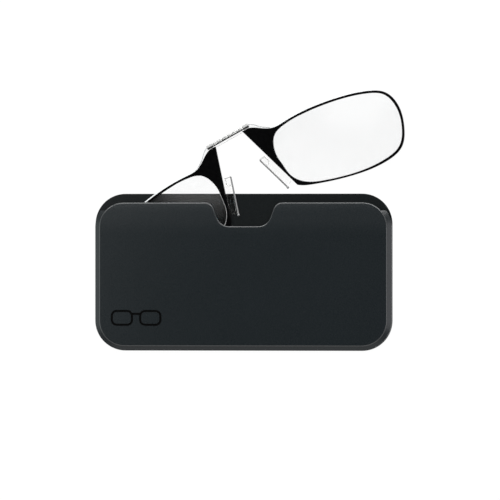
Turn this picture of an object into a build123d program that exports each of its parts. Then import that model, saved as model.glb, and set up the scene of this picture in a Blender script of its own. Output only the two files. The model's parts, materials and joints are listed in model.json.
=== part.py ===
"""Thin pince-nez reading glasses, drawn half out of their flat slide-in case.

Frame: the case lies on its back. +Z leaves the front cover, +Y points to the open
mouth, +X to the right. The origin is the centre of the adhesive pad's outer face.
The glasses have a frame of their own: u runs along the bridge, v points up.
"""
import os
from math import cos, radians, sin

from build123d import *

os.makedirs("parts", exist_ok=True)

# ---- driving dimensions, in millimetres and degrees ----

# case
case_width = 108.5
case_height = 57.0
case_corner = 11.0
adhesive_margin = 4.0
adhesive_thickness = 0.5
plate_thickness = 1.0
slot_height = 1.6
cover_thickness = 1.2
plate_edge_round = 0.3
rail_inset = 0.15
rail_width = 0.9
rail_end_y = 19.0
rail_end_round = 0.4
shoulder_top_y = 26.5
shoulder_corner = 10.0
cover_lip = 0.1
cover_border_width = 1.5
face_step = 0.45
cover_top_y = 25.35
cover_top_corner = 9.0
cover_edge_round = 0.4
tongue_end_y = 22.4
tongue_round = 0.9
notch_x = 0.3
notch_top_half = 11.8
notch_bottom_half = 8.6
notch_bottom_y = 16.7
notch_top_round = 3.4
notch_bottom_round = 4.8

# generic spectacles pictogram pressed into the cover
mark_x = -39.0
mark_y = -16.6
mark_lens_width = 8.2
mark_lens_height = 5.8
mark_lens_corner = 2.2
mark_gap = 2.2
mark_line = 0.8
mark_depth = 0.35

# glasses, placed in the case's slot
bridge_x = -5.48
bridge_y = 48.81
tilt = 29.0
frame_thickness = 1.3
frame_edge_round = 0.2
lens_back_inset = 0.1
lens_front_radius = 390.0
lens_centre = (35.4, -19.8)
clear_thickness = 1.1

# inner edge of each half, which carries the nose pad
edge_top = (5.55, -0.46)
edge_bottom = (13.8, -27.2)

# clear edge outside the black frame: a crest at the shoulder, then a narrow lip along the top
crest_points = [(8.65, 0.75), (10.4, -0.3), (12.3, -2.2), (15.0, -4.1)]
lip_points = [(20.5, -4.35), (29.4, -4.4), (41.0, -6.05), (53.1, -9.6), (57.6, -13.5)]
# its hidden root, which the rim cuts away
clear_root = [(41.0, -10.0), (20.5, -9.0), (14.0, -6.0), (8.65, -2.0)]

# bridge
ribbon_half_length = 8.35
ribbon_low = -0.2
ribbon_high = 1.0
ribbon_depth = 0.6
sleeve_low = -0.4
film_low = -0.83
film_half_length = 5.3
sleeve_high = 1.2
sleeve_depth = 1.0
clip_inner = 6.45
clip_outer = 8.6
clip_low = -0.36
clip_high = 1.25
clip_wall_gap = 0.02
clip_round = 0.15

# nose pads
pad_start = 12.3
pad_end = 25.5
pad_hinge_gap = 0.15
pad_width = 2.7
pad_thickness = 0.9
pad_corner = 0.7
pad_edge_round = 0.3
wire_diameter = 0.6
wire_offset = 3.1
wire_top = 11.9
wire_hook_end = 0.75
wire_hook_radius = 0.45
wire_tip_radius = 0.5
wire_end = 26.1

# ---- levels worked out from them ----

plate_z = adhesive_thickness
slot_z = plate_z + plate_thickness
cover_z = slot_z + slot_height
front_z = cover_z + cover_thickness
border_z = front_z - face_step
mid_z = slot_z + slot_height / 2
frame_z = mid_z - frame_thickness / 2
case_half_width = case_width / 2
case_half_height = case_height / 2
face_inset = rail_inset + cover_border_width


def glasses_plane(z):
    """The glasses' own plane at a height: x is u, along the bridge, and y is v."""
    along = (cos(radians(tilt)), sin(radians(tilt)), 0)
    return Plane(origin=(bridge_x, bridge_y, z), x_dir=along, z_dir=(0, 0, 1))


def save(builder, name):
    """Label a finished piece and write its STEP file."""
    builder.part.label = name
    export_step(builder.part, f"parts/{name}.step")


# ---- case ----


def case_shape(inset, mode=Mode.ADD):
    """The case's rounded rectangle, drawn in from its outline by an inset."""
    RectangleRounded(
        case_width - 2 * inset,
        case_height - 2 * inset,
        case_corner - inset,
        mode=mode,
    )


with BuildPart() as adhesive_pad:
    with BuildSketch(Plane.XY):
        case_shape(adhesive_margin)
    extrude(amount=adhesive_thickness)
save(adhesive_pad, "adhesive_pad")

with BuildPart() as case_back_plate:
    with BuildSketch(Plane.XY.offset(plate_z)):
        case_shape(0)
    extrude(amount=plate_thickness)
    fillet(case_back_plate.faces().sort_by(Axis.Z)[0].edges(), plate_edge_round)
    fillet(case_back_plate.faces().sort_by(Axis.Z)[-1].edges(), rail_inset)
save(case_back_plate, "case_back_plate")


def tablet(inset, top_y, top_corner):
    """The case's outline drawn in by an inset, with a top edge and top corners of its own."""
    half = case_half_width - inset
    bottom = inset - case_half_height
    bottom_corner = case_corner - inset
    with BuildLine() as outline:
        FilletPolyline(
            (-half, bottom),
            (-half, top_y),
            (half, top_y),
            (half, bottom),
            close=True,
            radius=[bottom_corner, top_corner, top_corner, bottom_corner],
        )
    return outline.edges()


def shoulder(depth):
    """The outline that the rails and the cover's rim share, taken in by a depth."""
    return tablet(rail_inset + depth, shoulder_top_y - depth, shoulder_corner - depth)


def band(depth):
    """A ring along that outline, of which each rail takes its stretch."""
    make_face(shoulder(0))
    make_face(shoulder(depth), mode=Mode.SUBTRACT)


# the bottom rail takes both corners, and each side rail the straight run above one
corner_y = -case_half_height + case_corner

with BuildPart() as case_bottom_rail:
    with BuildSketch(Plane.XY.offset(slot_z)):
        band(rail_width)
        with Locations((0, (corner_y - case_half_height) / 2)):
            Rectangle(case_width, case_corner, mode=Mode.INTERSECT)
    extrude(amount=slot_height)
save(case_bottom_rail, "case_bottom_rail")

for side, side_name in ((-1, "left"), (1, "right")):
    with BuildPart() as case_rail:
        with BuildSketch(Plane.XY.offset(slot_z)) as rail_sketch:
            band(rail_width)
            with Locations((side * case_half_width, (corner_y + rail_end_y) / 2)):
                Rectangle(2 * case_corner, rail_end_y - corner_y, mode=Mode.INTERSECT)
            rail_ends = rail_sketch.vertices().group_by(Axis.Y)[-1]
            fillet(rail_ends, rail_end_round)
        extrude(amount=slot_height)
    save(case_rail, f"case_{side_name}_rail")


def cover_face():
    """The cover's raised face from above, with its thumb notch, reaching below the case."""
    half = case_half_width - face_inset
    with BuildLine() as outline:
        FilletPolyline(
            (-half, -case_height),
            (-half, cover_top_y),
            (notch_x - notch_top_half, cover_top_y),
            (notch_x - notch_bottom_half, notch_bottom_y),
            (notch_x + notch_bottom_half, notch_bottom_y),
            (notch_x + notch_top_half, cover_top_y),
            (half, cover_top_y),
            (half, -case_height),
            close=True,
            radius=[
                cover_top_corner,
                cover_top_corner,
                notch_top_round,
                notch_bottom_round,
                notch_bottom_round,
                notch_top_round,
                cover_top_corner,
                cover_top_corner,
            ],
        )
    return outline.edges()


with BuildPart() as case_front_cover:
    with BuildSketch(Plane.XY.offset(cover_z)):
        make_face(shoulder(0))
    extrude(amount=cover_lip)
    with BuildSketch(Plane.XY.offset(cover_z + cover_lip)):
        make_face(shoulder(0))
    with BuildSketch(Plane.XY.offset(border_z)):
        make_face(tablet(face_inset, cover_top_y, cover_top_corner))
    loft()
    # the sloped border stops below the mouth in two tongues, and the face runs on above them
    with BuildSketch(Plane.XY.offset(cover_z)) as border_sketch:
        make_face(shoulder(0))
        make_face(tablet(face_inset, cover_top_y, cover_top_corner), mode=Mode.SUBTRACT)
        with Locations((0, tongue_end_y - case_half_height)):
            Rectangle(case_width, case_height, mode=Mode.INTERSECT)
        tongue_corners = border_sketch.vertices().group_by(Axis.Y)[-1].sort_by(Axis.X)
        fillet([tongue_corners[0], tongue_corners[-1]], tongue_round)
        make_face(cover_face())
    extrude(amount=cover_thickness, mode=Mode.INTERSECT)
    with BuildSketch(Plane.XY.offset(border_z)):
        make_face(cover_face())
        make_face(tablet(face_inset, cover_top_y, cover_top_corner), mode=Mode.INTERSECT)
    extrude(amount=face_step)
    fillet(case_front_cover.faces().sort_by(Axis.Z)[-1].edges(), cover_edge_round)
    with BuildSketch(Plane.XY.offset(front_z - mark_depth)):
        lens_pitch = mark_lens_width + mark_gap
        with Locations((mark_x - lens_pitch / 2, mark_y), (mark_x + lens_pitch / 2, mark_y)):
            RectangleRounded(mark_lens_width, mark_lens_height, mark_lens_corner)
            RectangleRounded(
                mark_lens_width - 2 * mark_line,
                mark_lens_height - 2 * mark_line,
                mark_lens_corner - mark_line,
                mode=Mode.SUBTRACT,
            )
        with Locations((mark_x, mark_y + mark_lens_height / 4)):
            Rectangle(mark_gap + mark_line, mark_line)
    extrude(amount=mark_depth, mode=Mode.SUBTRACT)
save(case_front_cover, "case_front_cover")

# ---- the two halves of the glasses ----


def rim_outline(side):
    """The outer outline of one half, from the nose edge round the lens and back."""
    outer = [
        (8.1, -0.5),
        (12.0, -2.65),
        (15.6, -4.6),
        (20.5, -4.8),
        (29.4, -4.85),
        (41.0, -6.5),
        (52.9, -10.0),
        (57.9, -13.3),
        (59.85, -19.6),
        (58.05, -27.5),
        (53.75, -33.6),
        (46.4, -35.5),
        (33.0, -34.0),
        (19.4, -30.0),
        edge_bottom,
    ]
    points = [(side * u, v) for u, v in outer]
    with BuildLine() as outline:
        Spline(points, tangents=[(side * 1.0, -0.3), (side * -0.75, 0.66)])
        Line(points[-1], (side * edge_top[0], edge_top[1]))
        Line((side * edge_top[0], edge_top[1]), points[0])
    return outline.edges()


def lens_outline(side):
    """The lens opening of one half, a closed smooth curve."""
    opening = [
        (12.5, -16.4),
        (13.25, -10.4),
        (15.4, -7.3),
        (20.0, -5.8),
        (28.5, -5.65),
        (40.5, -7.25),
        (52.4, -10.75),
        (57.05, -13.8),
        (58.85, -19.6),
        (57.15, -27.35),
        (53.1, -32.85),
        (46.4, -34.55),
        (33.1, -33.3),
        (23.4, -30.55),
        (16.45, -27.1),
        (13.45, -22.95),
    ]
    with BuildLine() as outline:
        Spline([(side * u, v) for u, v in opening], periodic=True)
    return outline.edges()


def edge_point(along, out, side):
    """A point by its distance down the nose edge, and out from it towards the nose."""
    du = edge_bottom[0] - edge_top[0]
    dv = edge_bottom[1] - edge_top[1]
    length = (du**2 + dv**2) ** 0.5
    u = edge_top[0] + (along * du + out * dv) / length
    v = edge_top[1] + (along * dv - out * du) / length
    return (side * u, v)


for side, side_name in ((-1, "left"), (1, "right")):
    with BuildPart() as rim:
        with BuildSketch(glasses_plane(frame_z)):
            make_face(rim_outline(side))
            make_face(lens_outline(side), mode=Mode.SUBTRACT)
        extrude(amount=frame_thickness)
        fillet(rim.faces().sort_by(Axis.Z)[-1].edges(), frame_edge_round)
    save(rim, f"{side_name}_rim")

    with BuildPart() as lens:
        with BuildSketch(glasses_plane(frame_z + lens_back_inset)):
            make_face(lens_outline(side))
        extrude(amount=frame_thickness)
        lens_top = frame_z + frame_thickness
        centre = glasses_plane(lens_top - lens_front_radius).from_local_coords(
            Vector(side * lens_centre[0], lens_centre[1], 0)
        )
        with Locations(centre):
            Sphere(lens_front_radius, mode=Mode.INTERSECT)
    save(lens, f"{side_name}_lens")

    with BuildPart() as clear_edge:
        with BuildSketch(glasses_plane(mid_z - clear_thickness / 2)):
            outer = [(side * u, v) for u, v in crest_points + lip_points]
            root = [(side * u, v) for u, v in clear_root]
            with BuildLine():
                Spline(outer)
                Polyline(outer[-1], *root, outer[0])
            make_face()
        extrude(amount=clear_thickness)
        with BuildSketch(glasses_plane(frame_z)):
            make_face(rim_outline(side))
        extrude(amount=frame_thickness, mode=Mode.SUBTRACT)
    save(clear_edge, f"{side_name}_clear_edge")

    with BuildPart() as bridge_clip:
        clip_u = (clip_inner + clip_outer) / 2
        with BuildSketch(glasses_plane(frame_z)):
            with Locations((side * clip_u, (clip_low + clip_high) / 2)):
                Rectangle(clip_outer - clip_inner, clip_high - clip_low)
        extrude(amount=frame_thickness)
        fillet(bridge_clip.edges(), clip_round)
        pocket_depth = ribbon_depth + 2 * clip_wall_gap
        with BuildSketch(glasses_plane(mid_z - pocket_depth / 2)):
            with Locations((side * ribbon_half_length / 2, (ribbon_low + ribbon_high) / 2)):
                Rectangle(
                    ribbon_half_length + 2 * clip_wall_gap,
                    ribbon_high - ribbon_low + 2 * clip_wall_gap,
                )
        extrude(amount=pocket_depth, mode=Mode.SUBTRACT)
    save(bridge_clip, f"{side_name}_bridge_clip")

    with BuildPart() as nose_pad:
        with BuildSketch(glasses_plane(mid_z - pad_thickness / 2)) as pad_sketch:
            with BuildLine():
                Polyline(
                    edge_point(pad_start, pad_hinge_gap, side),
                    edge_point(pad_end, pad_hinge_gap, side),
                    edge_point(pad_end, pad_width, side),
                    edge_point(pad_start, pad_width, side),
                    close=True,
                )
            make_face()
            fillet(pad_sketch.vertices(), pad_corner)
        extrude(amount=pad_thickness)
        fillet(nose_pad.faces().filter_by(Axis.Z).edges(), pad_edge_round)
    save(nose_pad, f"{side_name}_nose_pad")

    with BuildPart() as pad_wire:
        wire_low = edge_point(wire_end, wire_offset, side)
        with BuildLine(glasses_plane(mid_z)) as wire_path:
            FilletPolyline(
                wire_low,
                edge_point(wire_top, wire_offset, side),
                edge_point(wire_top, wire_hook_end, side),
                radius=wire_hook_radius,
            )
        with BuildSketch(Plane(origin=wire_path.line @ 0, z_dir=wire_path.line % 0)):
            Circle(wire_diameter / 2)
        sweep()
        with Locations(glasses_plane(mid_z).from_local_coords(Vector(*wire_low, 0))):
            Sphere(wire_tip_radius)
    save(pad_wire, f"{side_name}_pad_wire")

# ---- bridge ----

with BuildPart() as bridge_ribbon:
    with BuildSketch(glasses_plane(mid_z - ribbon_depth / 2)):
        with Locations((0, (ribbon_low + ribbon_high) / 2)):
            Rectangle(2 * ribbon_half_length, ribbon_high - ribbon_low)
    extrude(amount=ribbon_depth)
save(bridge_ribbon, "bridge_ribbon")

with BuildPart() as bridge_sleeve:
    sleeve_half_length = clip_inner - clip_wall_gap
    with BuildSketch(glasses_plane(mid_z - sleeve_depth / 2)):
        with Locations((0, (sleeve_low + sleeve_high) / 2)):
            Rectangle(2 * sleeve_half_length, sleeve_high - sleeve_low)
        with Locations((0, (film_low + sleeve_low) / 2)):
            Rectangle(2 * film_half_length, sleeve_low - film_low)
    extrude(amount=sleeve_depth)
    channel_depth = ribbon_depth + 2 * clip_wall_gap
    with BuildSketch(glasses_plane(mid_z - channel_depth / 2)):
        with Locations((0, (ribbon_low + ribbon_high) / 2)):
            Rectangle(
                2 * sleeve_half_length,
                ribbon_high - ribbon_low + 2 * clip_wall_gap,
            )
    extrude(amount=channel_depth, mode=Mode.SUBTRACT)
save(bridge_sleeve, "bridge_sleeve")
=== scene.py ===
"""Looks of the thin reading glasses and their slide-in case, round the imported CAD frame."""
import json
from math import atan2, cos, pi, radians, sin

import bmesh
import bpy
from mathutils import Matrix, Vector


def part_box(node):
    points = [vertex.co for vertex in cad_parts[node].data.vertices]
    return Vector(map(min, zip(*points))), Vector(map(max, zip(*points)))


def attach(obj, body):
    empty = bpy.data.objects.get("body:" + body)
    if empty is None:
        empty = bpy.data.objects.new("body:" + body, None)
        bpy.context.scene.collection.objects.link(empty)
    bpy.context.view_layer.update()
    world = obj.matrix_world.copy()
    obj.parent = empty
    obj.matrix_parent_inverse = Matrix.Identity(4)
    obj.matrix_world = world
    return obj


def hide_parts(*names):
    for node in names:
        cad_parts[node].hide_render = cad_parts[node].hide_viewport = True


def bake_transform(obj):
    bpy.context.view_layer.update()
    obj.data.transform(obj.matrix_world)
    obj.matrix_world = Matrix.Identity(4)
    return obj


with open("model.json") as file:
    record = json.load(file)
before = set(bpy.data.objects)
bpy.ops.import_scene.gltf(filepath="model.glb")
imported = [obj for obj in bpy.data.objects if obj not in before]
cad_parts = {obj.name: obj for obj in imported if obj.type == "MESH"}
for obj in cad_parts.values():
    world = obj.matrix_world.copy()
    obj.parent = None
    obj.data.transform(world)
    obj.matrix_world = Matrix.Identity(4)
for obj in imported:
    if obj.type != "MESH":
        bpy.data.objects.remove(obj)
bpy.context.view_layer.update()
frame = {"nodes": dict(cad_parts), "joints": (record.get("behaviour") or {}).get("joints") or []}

MM = 0.001

# ---- the glasses' own axes, taken from the fold joint at the middle of the bridge ----
# U runs along the bridge to the right half, V up from it in the plane of the lenses.

joints = {joint["name"]: joint for joint in frame["joints"]}
fold = joints["bridge_fold"]
UP = Vector((0, 0, 1))
V_AXIS = -Vector(fold["axis"]).normalized()
U_AXIS = V_AXIS.cross(UP)
FOLD_V = 0.4 * MM
BRIDGE = Vector(fold["pos_m"]) - FOLD_V * V_AXIS
TILT = U_AXIS.to_2d().angle_signed(Vector((1, 0)))


def on_glasses(u, v, z=0.0):
    """A point from its place along the bridge, up from it, and out of the lens plane."""
    return BRIDGE + u * U_AXIS + v * V_AXIS + z * UP


# ---- camera, light and floor ----

VIEW_WIDTH = 181.47 * MM
VIEW_CENTRE = Vector((2.40 * MM, 8.06 * MM, 2.0 * MM))
CAMERA_DISTANCE = 2.5
CAMERA_YAW = radians(6.5)
CLIP_RANGE = (0.1, 50.0)
SENSOR_MM = 36.0

WHITE = (1, 1, 1)

# each light's side angle and lean off the zenith in degrees, size, radiance, distance and tint
SOFTBOXES = {
    "right_panel": (0, 36, (0.7, 1.2), 1.85, 1.3, (0.98, 0.97, 1.0)),
    "left_panel": (180, 47, (0.7, 1.2), 1.2, 1.3, (0.88, 1.0, 0.98)),
    "far_panel": (90, 50, (1.5, 0.58), 8.0, 1.3, WHITE),
    "near_panel": (270, 42, (1.4, 0.6), 0.85, 1.3, WHITE),
    # small and close by: its falling sheen shades the case from left to right
    "left_lamp": (172, 25, (0.2, 0.05), 1.3, 0.33, WHITE),
    "far_left_lamp": (122, 36, (0.28, 0.28), 2.5, 0.9, WHITE),
}

# the dome's brightness, from the horizon to the zenith
DOME_STOPS = (
    (0.0, 1.0),
    (0.35, 0.75),
    (0.62, 0.40),
    (0.85, 0.14),
    (0.96, 0.07),
    (1.0, 0.06),
)
GLOW_PLACE = Vector((-0.075, 0.115, 0.99)).normalized()
GLOW_SPREAD = radians(6.0)
GLOW_LEVEL = 1.3

# the floor lights itself, so that it comes out white under any of the lights
FLOOR_HALF = 8.0
FLOOR_DROP = 0.05 * MM
FLOOR_BASE = (0.04, 0.04, 0.04, 1)
FLOOR_GLOW = 0.975


def add_camera():
    data = bpy.data.cameras.new("camera")
    data.sensor_width = SENSOR_MM
    data.lens = SENSOR_MM * CAMERA_DISTANCE / VIEW_WIDTH
    data.clip_start, data.clip_end = CLIP_RANGE
    camera = bpy.data.objects.new("camera", data)
    back = Vector((sin(CAMERA_YAW), 0, cos(CAMERA_YAW)))
    camera.location = VIEW_CENTRE + CAMERA_DISTANCE * back
    camera.rotation_euler = (0, CAMERA_YAW, 0)
    bpy.context.scene.collection.objects.link(camera)
    bpy.context.scene.camera = camera


def add_softbox(name, side, lean, size, radiance, distance, tint):
    """A soft panel aimed at the object, from a side angle and a lean off the zenith."""
    side, lean = radians(side), radians(lean)
    place = distance * Vector((cos(side) * sin(lean), sin(side) * sin(lean), cos(lean)))
    data = bpy.data.lights.new(name, "AREA")
    data.shape = "RECTANGLE"
    data.size, data.size_y = size
    data.energy = radiance * pi * size[0] * size[1]
    data.color = tint
    light = bpy.data.objects.new(name, data)
    light.location = place
    light.rotation_euler = (-place).to_track_quat("-Z", "Y").to_euler()
    bpy.context.scene.collection.objects.link(light)


def node_of(tree, kind, **values):
    """A new node with the given input values."""
    node = tree.nodes.new(kind)
    for name, value in values.items():
        node.inputs[name.replace("_", " ")].default_value = value
    return node


def maths(tree, operation, first, second):
    """A maths node on two values, each a socket or a number."""
    node = tree.nodes.new("ShaderNodeMath")
    node.operation = operation
    for socket, value in zip(node.inputs, (first, second)):
        if isinstance(value, (int, float)):
            socket.default_value = value
        else:
            tree.links.new(value, socket)
    return node.outputs[0]


def add_world():
    """A studio dome: bright round the sides and dim overhead, with one soft glow up there."""
    world = bpy.data.worlds.new("studio")
    bpy.context.scene.world = world
    world.use_nodes = True
    tree = world.node_tree
    place = tree.nodes.new("ShaderNodeTexCoord").outputs["Generated"]
    split = tree.nodes.new("ShaderNodeSeparateXYZ")
    tree.links.new(place, split.inputs[0])
    ramp = tree.nodes.new("ShaderNodeValToRGB")
    stops = ramp.color_ramp.elements
    for position, level in DOME_STOPS:
        at_end = position in (0.0, 1.0)
        stop = stops[-1 if position else 0] if at_end else stops.new(position)
        stop.color = (level, level, level, 1)
    tree.links.new(split.outputs["Z"], ramp.inputs[0])
    dot = tree.nodes.new("ShaderNodeVectorMath")
    dot.operation = "DOT_PRODUCT"
    dot.inputs[1].default_value = GLOW_PLACE
    tree.links.new(place, dot.inputs[0])
    glow = node_of(tree, "ShaderNodeMapRange", From_Min=cos(GLOW_SPREAD), From_Max=1.0)
    glow.interpolation_type = "SMOOTHSTEP"
    tree.links.new(dot.outputs["Value"], glow.inputs["Value"])
    level = maths(tree, "MULTIPLY_ADD", glow.outputs["Result"], GLOW_LEVEL)
    tree.links.new(ramp.outputs["Color"], level.node.inputs[2])
    tree.links.new(level, tree.nodes["Background"].inputs["Color"])


def add_floor():
    mesh = bpy.data.meshes.new("floor")
    half = FLOOR_HALF
    corners = [(-half, -half, 0), (half, -half, 0), (half, half, 0), (-half, half, 0)]
    mesh.from_pydata(corners, [], [(0, 1, 2, 3)])
    floor = bpy.data.objects.new("floor", mesh)
    floor.location.z = -FLOOR_DROP
    bpy.context.scene.collection.objects.link(floor)
    material = bpy.data.materials.new("floor_white")
    material.use_nodes = True
    shader = material.node_tree.nodes["Principled BSDF"]
    shader.inputs["Base Color"].default_value = FLOOR_BASE
    shader.inputs["Roughness"].default_value = 0.9
    shader.inputs["Specular IOR Level"].default_value = 0.0
    shader.inputs["Emission Color"].default_value = (1, 1, 1, 1)
    shader.inputs["Emission Strength"].default_value = FLOOR_GLOW
    mesh.materials.append(material)


bpy.context.scene.view_settings.view_transform = "Standard"
add_camera()
add_world()
add_floor()
for name, settings in SOFTBOXES.items():
    add_softbox(name, *settings)

# ---- materials ----
# Scales of noise are in cells to the metre, and colours are linear.

# the case's plastic: broad clouding of its colour, and a fine moulded grain
CLOUD_SCALE = 45
GRAIN_SCALE = 5200
GRAIN_DEPTH = 0.006 * MM
SHELL_IOR = 1.50
SHELL_ROUGHNESS = (0.26, 0.31)

# the cover rolls off towards its mouth, which is at high Y
ROLL_START = 13.0 * MM
ROLL_END = 26.0 * MM
ROLL_DEPTH = 1.05 * MM
ROLL_POWER = 2.6

# depths below the cover's face: its rounded edge, worn glossy, and the mark's dull floor
FRONT_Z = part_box("case_front_cover")[1].z
WORN_TOP = (0.005 * MM, 0.02 * MM)
WORN_BOTTOM = (0.26 * MM, 0.30 * MM)
WORN_GLOSS = 1.0
MARK_DEPTH = 0.35 * MM
MARK_MARGIN = (0.02 * MM, 0.04 * MM)
MARK_GLOSS = 0.1

# distances on the glasses across which a part turns to painted light: sideways for the
# lip, which also turns satin, upwards for a clip, and in towards the rim for a wire's hook
GLINT_LIP_BLEND = (15.0 * MM, 17.0 * MM)
CLIP_BLEND = (0.28 * MM, 0.42 * MM)
HOOK_BLEND = (2.85 * MM, 2.60 * MM)
LIP_ROUGHNESS = 0.3
PALE_METALLIC = 0.2

# the nose edge's upper end, and the way out from it towards the nose, as (sideways, up)
NOSE_EDGE = (5.55 * MM, -0.46 * MM)
NOSE_OUT = (-0.9556, -0.2948)

# clear plastic: smears in its polish
SMEAR_SCALE = 260
SMEAR_SHADE = 0.985
SMEAR_ROUGHNESS = 0.015

# metal: draw marks, long in one direction
MARKS_SCALE = 700
MARKS_STRETCH = (0.08, 2.0, 2.0)
MARKS_SHADE = 0.9
MARKS_ROUGHNESS = 0.06


def new_material(name):
    material = bpy.data.materials.new(name)
    material.use_nodes = True
    tree = material.node_tree
    return material, tree, tree.nodes["Principled BSDF"]


def set_shader(shader, **values):
    for name, value in values.items():
        shader.inputs[name.replace("_", " ")].default_value = value


def add_noise(tree, scale, detail, stretch=None):
    """Noise in the row frame, drawn out along one axis if asked."""
    place = tree.nodes.new("ShaderNodeTexCoord")
    noise = node_of(tree, "ShaderNodeTexNoise", Scale=scale, Detail=detail)
    source = place.outputs["Object"]
    if stretch:
        turn, factors = stretch
        mapping = tree.nodes.new("ShaderNodeMapping")
        mapping.inputs["Rotation"].default_value = (0, 0, turn)
        mapping.inputs["Scale"].default_value = factors
        tree.links.new(source, mapping.inputs["Vector"])
        source = mapping.outputs["Vector"]
    tree.links.new(source, noise.inputs["Vector"])
    return noise.outputs["Fac"]


def map_to(tree, value, low, high, start=0.3, stop=0.7):
    """A value spread from low to high as it goes from start to stop, by default noise's range."""
    spread = {"From_Min": start, "From_Max": stop, "To_Min": low, "To_Max": high}
    ranged = node_of(tree, "ShaderNodeMapRange", **spread)
    tree.links.new(value, ranged.inputs["Value"])
    return ranged.outputs["Result"]


def mix_colours(tree, value, first, second):
    mix = tree.nodes.new("ShaderNodeMix")
    mix.data_type = "RGBA"
    mix.inputs["A"].default_value = (*first, 1)
    mix.inputs["B"].default_value = (*second, 1)
    tree.links.new(value, mix.inputs["Factor"])
    return mix.outputs["Result"]


def add_bump(tree, shader, height, depth, below=None):
    bump = node_of(tree, "ShaderNodeBump", Strength=1.0, Distance=depth)
    tree.links.new(height, bump.inputs["Height"])
    if below:
        tree.links.new(below, bump.inputs["Normal"])
    tree.links.new(bump.outputs["Normal"], shader.inputs["Normal"])
    return bump.outputs["Normal"]


def across_glasses(tree, axis, start=0.0):
    """How far a point lies from the bridge's middle along an axis, less a starting distance."""
    dot = tree.nodes.new("ShaderNodeVectorMath")
    dot.operation = "DOT_PRODUCT"
    dot.inputs[1].default_value = axis
    tree.links.new(tree.nodes.new("ShaderNodeTexCoord").outputs["Object"], dot.inputs[0])
    return maths(tree, "SUBTRACT", dot.outputs["Value"], BRIDGE.dot(axis) + start)


def shell_nodes(name, dark, light, gloss):
    """The case's plastic, with the nodes and the colour and grain sockets to build on."""
    material, tree, shader = new_material(name)
    set_shader(shader, IOR=SHELL_IOR, Specular_IOR_Level=gloss)
    broad = map_to(tree, add_noise(tree, CLOUD_SCALE, detail=2.0), 0.0, 1.0)
    grain = add_noise(tree, GRAIN_SCALE, detail=2.0)
    colour = mix_colours(tree, broad, dark, light)
    tree.links.new(map_to(tree, grain, *SHELL_ROUGHNESS), shader.inputs["Roughness"])
    return material, tree, shader, colour, grain


def plate_plastic(name, dark, light, gloss):
    """Satin charcoal polycarbonate with a fine spark-eroded grain."""
    material, tree, shader, colour, grain = shell_nodes(name, dark, light, gloss)
    tree.links.new(colour, shader.inputs["Base Color"])
    add_bump(tree, shader, grain, GRAIN_DEPTH)
    return material


def cover_plastic(name, dark, light, gloss):
    """The same plastic, rolled off to the mouth, glossy on its worn edge and dull in the mark."""
    material, tree, shader, colour, grain = shell_nodes(name, dark, light, gloss)
    split = tree.nodes.new("ShaderNodeSeparateXYZ")
    tree.links.new(tree.nodes.new("ShaderNodeTexCoord").outputs["Object"], split.inputs[0])

    slope = map_to(tree, split.outputs["Y"], 0.0, 1.0, ROLL_START, ROLL_END)
    fall = maths(tree, "MULTIPLY", maths(tree, "POWER", slope, ROLL_POWER), -1.0)
    rolled = add_bump(tree, shader, fall, ROLL_DEPTH)
    add_bump(tree, shader, grain, GRAIN_DEPTH, below=rolled)

    depth = maths(tree, "SUBTRACT", FRONT_Z, split.outputs["Z"])
    below_top = map_to(tree, depth, 0.0, 1.0, *WORN_TOP)
    above_bottom = map_to(tree, depth, 1.0, 0.0, *WORN_BOTTOM)
    worn = maths(tree, "MULTIPLY", below_top, above_bottom)
    off_floor = maths(tree, "ABSOLUTE", maths(tree, "SUBTRACT", depth, MARK_DEPTH), 0)
    mark = map_to(tree, off_floor, 1.0, 0.0, *MARK_MARGIN)

    shine = maths(tree, "MULTIPLY_ADD", worn, WORN_GLOSS - gloss)
    shine.node.inputs[2].default_value = gloss
    dulled = maths(tree, "MULTIPLY_ADD", mark, MARK_GLOSS - gloss)
    tree.links.new(shine, dulled.node.inputs[2])
    tree.links.new(dulled, shader.inputs["Specular IOR Level"])

    shade = tree.nodes.new("ShaderNodeVectorMath")
    shade.operation = "SCALE"
    tree.links.new(colour, shade.inputs[0])
    tree.links.new(maths(tree, "SUBTRACT", 1.0, mark), shade.inputs["Scale"])
    tree.links.new(shade.outputs["Vector"], shader.inputs["Base Color"])
    return material


def rim_plastic():
    """Black gloss paint on the moulded frame."""
    material, tree, shader = new_material("rim_plastic")
    set_shader(shader, IOR=1.45, Specular_IOR_Level=0.08)
    flow = add_noise(tree, 900, detail=2.0)
    blacks = (0.0004, 0.0004, 0.0005), (0.0008, 0.0008, 0.0009)
    colour = mix_colours(tree, map_to(tree, flow, 0, 1), *blacks)
    tree.links.new(colour, shader.inputs["Base Color"])
    tree.links.new(map_to(tree, flow, 0.16, 0.24), shader.inputs["Roughness"])
    add_bump(tree, shader, add_noise(tree, 2600, detail=1.0), depth=0.001 * MM)
    return material


def clear_plastic(name, tint, rough, ior):
    """Clear moulded plastic, with faint smears in its polish."""
    material, tree, shader = new_material(name)
    set_shader(shader, IOR=ior, Transmission_Weight=1.0)
    smear = add_noise(tree, SMEAR_SCALE, detail=4.0)
    darker = tuple(SMEAR_SHADE * c for c in tint)
    colour = mix_colours(tree, map_to(tree, smear, 0, 1), tint, darker)
    tree.links.new(colour, shader.inputs["Base Color"])
    polish = map_to(tree, smear, rough, rough + SMEAR_ROUGHNESS)
    tree.links.new(polish, shader.inputs["Roughness"])
    return material


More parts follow.
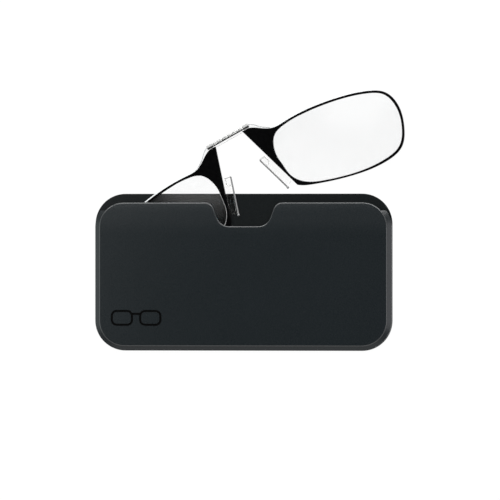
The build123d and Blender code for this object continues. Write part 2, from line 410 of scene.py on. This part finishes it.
def carrier_plastic():
    """Clear plastic under the black of the frame; the narrow lip round the lens is left satin,
    opaque and pale grey, a painted highlight along the rim's outer edge.
    """
    material, tree, shader = new_material("carrier_clear")
    set_shader(shader, IOR=1.45)
    smear = add_noise(tree, SMEAR_SCALE, detail=4.0)
    distance = maths(tree, "ABSOLUTE", across_glasses(tree, U_AXIS), 0)
    lip = map_to(tree, distance, 0.0, 1.0, *GLINT_LIP_BLEND)
    # the lip's opaque pale grey is a painted highlight
    colour = mix_colours(tree, lip, (0.98, 0.985, 0.985), (0.72, 0.73, 0.73))
    tree.links.new(colour, shader.inputs["Base Color"])
    tree.links.new(maths(tree, "SUBTRACT", 1.0, lip), shader.inputs["Transmission Weight"])
    satin = maths(tree, "MULTIPLY", lip, LIP_ROUGHNESS)
    polish = map_to(tree, smear, 0.01, 0.03)
    tree.links.new(maths(tree, "ADD", satin, polish), shader.inputs["Roughness"])
    return material


def painted_glint_white():
    """A painted highlight for the fine bevel of a lens: a pale satin grey standing in for the
    light the bevel catches.
    """
    material, tree, shader = new_material("painted_glint_white")
    ground = add_noise(tree, 3000, detail=2.0)
    colour = mix_colours(tree, ground, (0.50, 0.505, 0.505), (0.58, 0.585, 0.585))
    tree.links.new(colour, shader.inputs["Base Color"])
    tree.links.new(map_to(tree, ground, 0.45, 0.6), shader.inputs["Roughness"])
    return material


def silicone():
    """Soft clear silicone with a faintly matt skin."""
    material, tree, shader = new_material("silicone")
    set_shader(shader, IOR=1.22, Transmission_Weight=1.0)
    cloud = add_noise(tree, 700, detail=3.0)
    whites = (0.97, 0.97, 0.965), (0.95, 0.95, 0.945)
    colour = mix_colours(tree, map_to(tree, cloud, 0, 1), *whites)
    tree.links.new(colour, shader.inputs["Base Color"])
    tree.links.new(map_to(tree, cloud, 0.02, 0.07), shader.inputs["Roughness"])
    add_bump(tree, shader, add_noise(tree, 900, detail=1.0), depth=0.004 * MM)
    return material


def add_draw_marks(tree):
    """Fine marks that run along the bridge."""
    return add_noise(tree, MARKS_SCALE, detail=2.0, stretch=(TILT, MARKS_STRETCH))


def metal(name, colour, rough, metallic):
    """Polished metal with fine draw marks."""
    material, tree, shader = new_material(name)
    set_shader(shader, Metallic=metallic)
    marks = add_draw_marks(tree)
    duller = tuple(MARKS_SHADE * c for c in colour)
    shade = mix_colours(tree, map_to(tree, marks, 0, 1), colour, duller)
    tree.links.new(shade, shader.inputs["Base Color"])
    polish = map_to(tree, marks, rough, rough + MARKS_ROUGHNESS)
    tree.links.new(polish, shader.inputs["Roughness"])
    return material


def lit_and_shaded_metal(name, dark, pale, measure, blend, metallic):
    """One metal in shaded and lit copies: dark and more metallic up to a distance, painted as
    shade, and pale and less metallic past it, painted as light.
    """
    material, tree, shader = new_material(name)
    past = map_to(tree, measure(tree), 0.0, 1.0, *blend)
    tree.links.new(mix_colours(tree, past, dark, pale), shader.inputs["Base Color"])
    share = map_to(tree, past, metallic, PALE_METALLIC, 0.0, 1.0)
    tree.links.new(share, shader.inputs["Metallic"])
    tree.links.new(map_to(tree, add_draw_marks(tree), 0.20, 0.27), shader.inputs["Roughness"])
    return material


def up_the_clip(tree):
    """The height up a clip: its upper side is painted pale as light, in line with the strip's
    face.
    """
    return across_glasses(tree, V_AXIS)


def out_from_rim(tree):
    """The distance out from the nose edge: a wire is painted pale, as light, where its hook
    enters the pad.
    """
    aside = maths(tree, "ABSOLUTE", across_glasses(tree, U_AXIS), 0)
    aside = maths(tree, "SUBTRACT", aside, NOSE_EDGE[0])
    above = across_glasses(tree, V_AXIS, start=NOSE_EDGE[1])
    sideways = maths(tree, "MULTIPLY", aside, NOSE_OUT[0])
    upwards = maths(tree, "MULTIPLY", above, NOSE_OUT[1])
    return maths(tree, "ADD", sideways, upwards)


def adhesive_foam():
    """Grey closed-cell foam tape."""
    material, tree, shader = new_material("adhesive_foam")
    cells = add_noise(tree, 2600, detail=4.0)
    greys = (0.10, 0.105, 0.105), (0.15, 0.155, 0.155)
    colour = mix_colours(tree, map_to(tree, cells, 0, 1), *greys)
    tree.links.new(colour, shader.inputs["Base Color"])
    tree.links.new(map_to(tree, cells, 0.78, 0.92), shader.inputs["Roughness"])
    add_bump(tree, shader, cells, depth=0.05 * MM)
    return material


plate = plate_plastic(
    "plate_plastic", dark=(0.0002, 0.0014, 0.0018), light=(0.0005, 0.0018, 0.0022), gloss=0.32
)
cover = cover_plastic(
    "cover_plastic", dark=(0.0003, 0.0028, 0.0042), light=(0.0009, 0.0035, 0.0050), gloss=0.45
)
rim = rim_plastic()
lens_clear = clear_plastic("lens_clear", tint=(0.995, 1.0, 1.0), rough=0.0, ior=1.5)
carrier_clear = carrier_plastic()
# grey-tinted clear beads along the crests, the sleeve and its film: painted shade for the thin
# dark line of an edge
painted_edge_shade = clear_plastic("painted_edge_shade", tint=(0.62, 0.63, 0.64), rough=0.05, ior=1.2)
sleeve_clear = clear_plastic("sleeve_clear", tint=(0.98, 0.98, 0.98), rough=0.02, ior=1.45)
pad_clear = silicone()
# pale satin beads on the lens bevels: a painted highlight
glint_paint = painted_glint_white()
# the strip is one metal in lit and shaded copies: a pale, nearly diffuse face, partly its satin
# finish and partly painted light, and a lower lip painted dark as shade
strip_metal = metal("strip_metal", (0.62, 0.62, 0.61), rough=0.35, metallic=0.05)
strip_shaded_lip = metal("strip_shaded_lip", (0.07, 0.07, 0.07), rough=0.30, metallic=1.0)
# the clip and the wire are each one metal, painted dark as shade and pale as light
clip_lit_shaded_metal = lit_and_shaded_metal(
    "clip_lit_shaded_metal", (0.10, 0.10, 0.10), (0.46, 0.46, 0.455), up_the_clip, CLIP_BLEND, metallic=1.0
)
wire_metal = lit_and_shaded_metal(
    "wire_metal", (0.20, 0.20, 0.20), (0.62, 0.62, 0.615), out_from_rim, HOOK_BLEND, metallic=0.5
)
foam = adhesive_foam()


def dress(node, material):
    mesh = frame["nodes"][node].data
    mesh.materials.clear()
    mesh.materials.append(material)


dress("case_back_plate", plate)
for part in ("left_rail", "right_rail", "bottom_rail", "front_cover"):
    dress(f"case_{part}", cover)
dress("adhesive_pad", foam)
for side in ("left", "right"):
    dress(f"{side}_rim", rim)
    dress(f"{side}_lens", lens_clear)
    dress(f"{side}_clear_edge", carrier_clear)
    dress(f"{side}_bridge_clip", clip_lit_shaded_metal)
    dress(f"{side}_pad_wire", wire_metal)

# ---- pieces made here ----


def rounded_section(half_width, half_height, corner, steps=5):
    """A closed rounded rectangle as a list of (across, up) points."""
    points = []
    for turn in range(4):
        sign_x = 1 if turn in (0, 3) else -1
        sign_y = 1 if turn in (0, 1) else -1
        for step in range(steps + 1):
            angle = (turn + step / steps) * pi / 2
            x = sign_x * (half_width - corner) + corner * cos(angle)
            y = sign_y * (half_height - corner) + corner * sin(angle)
            points.append((x, y))
    return points


# the strip's section: its lower and upper edge, its depth out of the plane of the lenses,
# the lip's rounding as (distance up, share of the depth), and the face's arc in degrees
STRIP_LOW = -0.2 * MM
STRIP_HIGH = 1.0 * MM
STRIP_DEPTH = 0.6 * MM
LIP_WIDTH = 0.34 * MM
LIP_ROUNDING = ((0.0, 0.5), (0.06 * MM, 0.9), (0.30 * MM, 1.0))
FACE_TURN = (8, 82)
FACE_EDGE_DEPTH = 0.25


def crowned_section(low, high, half_depth, steps=14):
    """A strip's section: a lower lip painted dark as shade, then a face that rolls away to its
    upper edge.
    """
    lip = low + LIP_WIDTH
    first, last = FACE_TURN
    upper = [(low + across, share * half_depth) for across, share in LIP_ROUNDING]
    for step in range(steps + 1):
        angle = radians(first + (last - first) * step / steps)
        share = FACE_EDGE_DEPTH + (1 - FACE_EDGE_DEPTH) * cos(angle)
        upper.append((lip + (high - lip) * sin(angle), half_depth * share))
    lower = [(across, -up) for across, up in reversed(upper)]
    return upper + lower


def tube(name, rings, materials, pick=None):
    """A closed skin over rings of points, one ring after another, capped at both ends."""
    mesh = bpy.data.meshes.new(name)
    skin = bmesh.new()
    rows = [[skin.verts.new(point) for point in ring] for ring in rings]
    count = len(rows[0])
    for first, second in zip(rows, rows[1:]):
        for i in range(count):
            j = (i + 1) % count
            face = skin.faces.new((first[i], first[j], second[j], second[i]))
            face.material_index = pick[i] if pick else 0
            face.smooth = True
    skin.faces.new(list(reversed(rows[0])))
    skin.faces.new(rows[-1])
    bmesh.ops.recalc_face_normals(skin, faces=skin.faces)
    skin.to_mesh(mesh)
    skin.free()
    for material in materials:
        mesh.materials.append(material)
    piece = bpy.data.objects.new(name, mesh)
    bpy.context.scene.collection.objects.link(piece)
    return piece


# the strip and its sleeve are made in three stretches, one for each joint of the bridge
BEND_ENDS = (-6.4 * MM, -2.1 * MM, 2.1 * MM, 6.4 * MM)
BEND_STEP = 0.35 * MM

# half the length of the strip, of its sleeve and of the film that hangs from the sleeve
STRIP_END = 8.35 * MM
SLEEVE_END = 6.43 * MM
FILM_END = 5.3 * MM

SLEEVE_LOW = -0.83 * MM
SLEEVE_HIGH = 1.2 * MM
SLEEVE_HALF_DEPTH = 0.5 * MM
SLEEVE_CORNER = 0.2 * MM

# the rounded bead along each long edge of the sleeve, tinted grey as painted shade for the edge's
# line
EDGE_HALF = 0.07 * MM
EDGE_CORNER = 0.05 * MM
EDGE_INSET = 0.05 * MM


def bent_strip(name, section, middle, end, materials, node, pick=None):
    """A strip across the bridge, made in three stretches, one for each of the bridge's three
    joints.
    """
    cuts = (-end, BEND_ENDS[1], BEND_ENDS[2], end)
    for index, word in enumerate(("left", "middle", "right")):
        first, last = cuts[index], cuts[index + 1]
        count = max(2, round((last - first) / BEND_STEP))
        rings = []
        for step in range(count + 1):
            u = first + (last - first) * step / count
            rings.append([on_glasses(u, middle + across, up) for across, up in section])
        piece = tube(f"{name}_{word}", rings, materials, pick)
        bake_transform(piece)
        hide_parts(node)


strip_section = crowned_section(STRIP_LOW, STRIP_HIGH, STRIP_DEPTH / 2)
lip_end = STRIP_LOW + LIP_WIDTH
bent_strip(
    "bridge_strip",
    strip_section,
    middle=0.0,
    end=STRIP_END,
    materials=(strip_metal, strip_shaded_lip),
    node="bridge_ribbon",
    # the lip's faces take the second material, painted dark as shade
    pick=[1 if across < lip_end else 0 for across, up in strip_section],
)

half_sleeve = (SLEEVE_HIGH - SLEEVE_LOW) / 2
bent_strip(
    "clear_sleeve",
    rounded_section(half_sleeve, SLEEVE_HALF_DEPTH, SLEEVE_CORNER),
    middle=SLEEVE_LOW + half_sleeve,
    end=SLEEVE_END,
    materials=(sleeve_clear,),
    node="bridge_sleeve",
)

edge_section = rounded_section(EDGE_HALF, EDGE_HALF, EDGE_CORNER, steps=2)
for name, middle, end in (
    ("film_edge", SLEEVE_LOW, FILM_END),
    ("sleeve_edge", SLEEVE_HIGH - EDGE_INSET, SLEEVE_END),
):
    bent_strip(name, edge_section, middle, end, (painted_edge_shade,), "bridge_sleeve")

# ---- nose pads: soft clear strips between the rim's nose edge and the wire ----

PAD_ROOT = 0.15 * MM
PAD_OUT = 2.7 * MM
PAD_THICKNESS = 0.9 * MM
PAD_LENGTH = 13.2 * MM
PAD_RINGS = 40
# how late a pad starts to narrow, then its width and thickness at its very ends and the
# rounding of its edges, each as a share of the full measure
PAD_FULLNESS = 9
PAD_END_WIDTH = 0.35
PAD_END_THICKNESS = 0.30
PAD_ROUNDING = 0.8


def soft_pad(side):
    joint = joints[f"{side}_pad_flex"]
    low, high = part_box(f"{side}_nose_pad")
    along = Vector(joint["axis"]).normalized()
    if along.dot(V_AXIS) > 0:
        along = -along
    out = along.cross(UP)
    root = Vector(joint["pos_m"])
    centre = (low + high) / 2
    if out.dot(centre - root) < 0:
        out = -out
    middle = root + along * along.dot(centre - root)
    half_out = (PAD_OUT - PAD_ROOT) / 2
    half_length = PAD_LENGTH / 2
    rings = []
    for step in range(PAD_RINGS + 1):
        t = -1 + 2 * step / PAD_RINGS
        edge = (1 - abs(t) ** PAD_FULLNESS) ** 0.5
        narrow = PAD_END_WIDTH + (1 - PAD_END_WIDTH) * edge
        thin = PAD_END_THICKNESS + (1 - PAD_END_THICKNESS) * edge
        thick = PAD_THICKNESS / 2 * thin
        section = rounded_section(half_out * narrow, thick, thick * PAD_ROUNDING, steps=6)
        place = middle + along * (t * half_length) + out * (PAD_ROOT + half_out)
        rings.append([place + out * across + UP * up for across, up in section])
    piece = tube(f"{side}_silicone_pad", rings, (pad_clear,))
    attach(piece, f"{side}_pad")
    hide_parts(f"{side}_nose_pad")


for side in ("left", "right"):
    soft_pad(side)

# ---- fine lines: wire anchors in the pads, painted light; edges of the clear crests, painted shade; lens bevels, painted highlights ----

# the anchor's path in millimetres, down the nose edge and out from it
ANCHOR = ((12.0, 1.05), (13.2, 1.0), (14.4, 1.05), (14.95, 1.5), (15.0, 2.1), (14.95, 2.75))
ANCHOR_RADIUS = 0.13 * MM

# the crest's path in millimetres, sideways from the bridge and up from it; its bead is tinted
# grey as painted shade
CREST = ((8.65, 0.75), (10.4, -0.3), (12.3, -2.2), (15.0, -4.1))
CREST_INSET = 0.14
CREST_RADIUS = 0.16 * MM

# the bevel's bead, painted pale as its highlight: how far below the rim's top it lies, and its
# reach to each side of the nose
BEVEL_RADIUS = 0.045 * MM
BEVEL_BELOW = 0.05 * MM
BEVEL_REACH = radians(62)
BEVEL_STEP = 0.2 * MM
OUTLINE_BAND = 0.01 * MM


def bead(name, path, radius, material, steps=10):
    """A thin round bead along a path of points."""
    rings = []
    for index, point in enumerate(path):
        ahead = path[min(index + 1, len(path) - 1)] - path[max(index - 1, 0)]
        aside = ahead.cross(UP).normalized()
        turns = [2 * pi * step / steps for step in range(steps)]
        rings.append([point + radius * (cos(a) * aside + sin(a) * UP) for a in turns])
    return tube(name, rings, (material,))


def smooth_path(points, steps=6):
    """Points along a smooth curve through the given ones."""
    padded = [2 * points[0] - points[1], *points, 2 * points[-1] - points[-2]]
    path = []
    for first, second, third, fourth in zip(padded, padded[1:], padded[2:], padded[3:]):
        for step in range(steps):
            t = step / steps
            bend = (2 * first - 5 * second + 4 * third - fourth) * t * t
            twist = (3 * second - first - 3 * third + fourth) * t * t * t
            path.append(0.5 * (2 * second + (third - first) * t + bend + twist))
    return path + [points[-1]]


def on_pad(side, along, out):
    """A point of one pad, from its distances down the nose edge and out from it."""
    sign = -1 if side == "left" else 1
    down = Vector((-NOSE_OUT[1], NOSE_OUT[0]))
    u = NOSE_EDGE[0] + (along * down.x + out * NOSE_OUT[0]) * MM
    v = NOSE_EDGE[1] + (along * down.y + out * NOSE_OUT[1]) * MM
    return on_glasses(sign * u, v)


def lens_bevel_glint(side, sign):
    """A bead painted pale as the highlight of the lens's bevel along its nose side, where it
    meets the rim.
    """
    points = [vertex.co.copy() for vertex in frame["nodes"][f"{side}_lens"].data.vertices]
    back_z = min(point.z for point in points)
    outline = [point for point in points if point.z < back_z + OUTLINE_BAND]
    centre = sum(outline, Vector()) / len(outline)
    placed = []
    for point in outline:
        away = point - centre
        turn = atan2(away.dot(V_AXIS), -sign * away.dot(U_AXIS))
        if abs(turn) < BEVEL_REACH:
            placed.append((turn, point))
    placed.sort(key=lambda pair: pair[0])
    path = [placed[0][1]]
    for _, point in placed[1:]:
        if (point - path[-1]).length > BEVEL_STEP:
            path.append(point)
    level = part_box(f"{side}_rim")[1].z - BEVEL_BELOW
    path = [Vector((point.x, point.y, level)) for point in path]
    return bead(f"{side}_lens_bevel_glint", path, BEVEL_RADIUS, glint_paint, steps=6)


for side, sign in (("left", -1), ("right", 1)):
    bevel = lens_bevel_glint(side, sign)
    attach(bevel, f"{side}_half")
    # the anchor loop is the wire's metal, painted pale as the light it shows inside the pad
    places = [on_pad(side, *spot) for spot in ANCHOR]
    anchor = bead(f"{side}_pad_anchor", smooth_path(places), ANCHOR_RADIUS, wire_metal)
    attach(anchor, f"{side}_pad")
    places = [on_glasses(sign * u * MM, (v - CREST_INSET) * MM) for u, v in CREST]
    crest = bead(f"{side}_crest_edge", smooth_path(places), CREST_RADIUS, painted_edge_shade)
    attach(crest, f"{side}_half")
